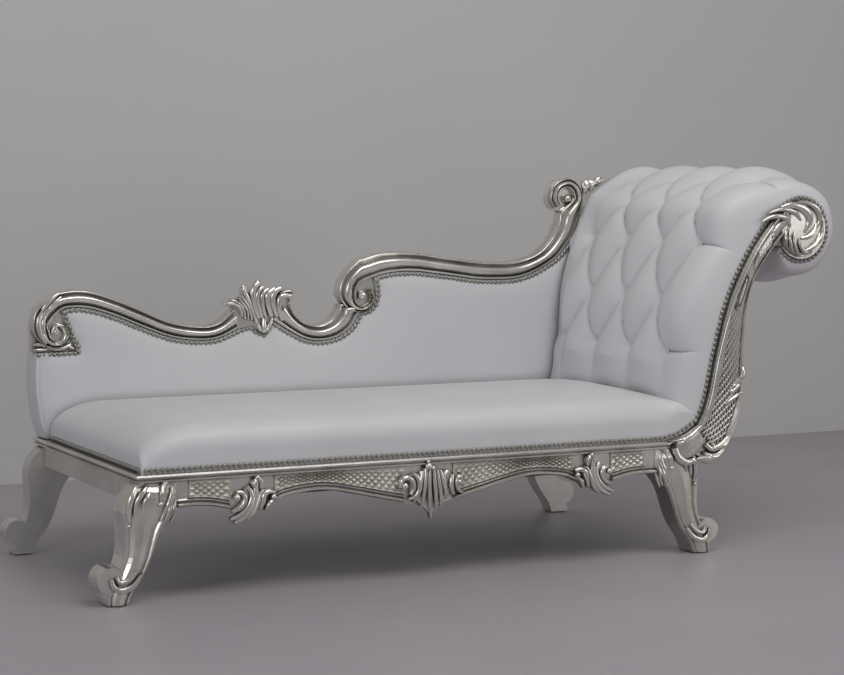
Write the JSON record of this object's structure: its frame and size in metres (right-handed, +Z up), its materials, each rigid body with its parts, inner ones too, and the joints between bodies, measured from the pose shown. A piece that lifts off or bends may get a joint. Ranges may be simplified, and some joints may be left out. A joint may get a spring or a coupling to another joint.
{
  "type": "chaise longue",
  "caption": "Chaise longue with a carved silvered frame, a low ogee back, a padded seat and a deep-tufted rolled headrest in white leather",
  "frame": {"origin": "middle of the bounding box at floor level", "axes": "+X along the seat towards the headrest, +Y from the open front to the back, +Z up"},
  "size_m": [1.9962, 0.766, 0.9487],
  "materials": {
    "silver_leaf": "carved wood under antiqued silver leaf, satin, dark in the recesses",
    "plain_silver": "plain wood under dull silver paint",
    "bare_wood": "bare hardwood, planed",
    "white_leather": "smooth white leather with a soft sheen",
    "foam": "upholstery foam",
    "black_cloth": "woven webbing and lining cloth",
    "glide_plastic": "dark plastic glide",
    "screw_steel": "zinc plated steel",
    "nail_silver": "antiqued silver upholstery nails"
  },
  "bodies": {
    "root": {"front_rail": "silver_leaf", "left_end_rail": "plain_silver", "back_rail": "bare_wood", "right_end_rail": "bare_wood", "front_left_leg": "silver_leaf", "front_right_leg": "silver_leaf", "back_left_leg": "plain_silver", "back_right_leg": "plain_silver", "corner_blocks": "bare_wood", "corner_block_screws": "screw_steel", "leg_dowels": "bare_wood", "foot_glides": "glide_plastic", "rail_moulding": "silver_leaf", "apron_bead": "silver_leaf", "apron_lattice": "silver_leaf", "apron_shell_left": "silver_leaf", "apron_shell_centre": "silver_leaf", "apron_shell_right": "silver_leaf", "headrest_front_frame": "silver_leaf", "headrest_lattice": "silver_leaf", "headrest_cartouche": "silver_leaf", "headrest_rosette": "silver_leaf", "headrest_back_frame": "plain_silver", "headrest_cross_rails": "bare_wood", "headrest_deck": "bare_wood", "headrest_roll_core": "foam", "headrest_cover": "white_leather", "tuft_buttons": "white_leather", "headrest_outside_cover": "white_leather", "crest_left_rail": "silver_leaf", "crest_shell": "silver_leaf", "crest_middle_rail": "silver_leaf", "crest_right_rail": "silver_leaf", "crest_end_leaf": "silver_leaf", "back_board": "bare_wood", "back_posts": "bare_wood", "back_foam": "foam", "back_cover": "white_leather", "outside_back_cover": "white_leather", "seat_webbing": "black_cloth", "seat_foam": "foam", "seat_cover": "white_leather", "dust_cover": "black_cloth", "nails_front": "nail_silver", "nails_left_end": "nail_silver", "nails_crest": "nail_silver", "nails_headrest": "nail_silver"}
  },
  "joints": []
}
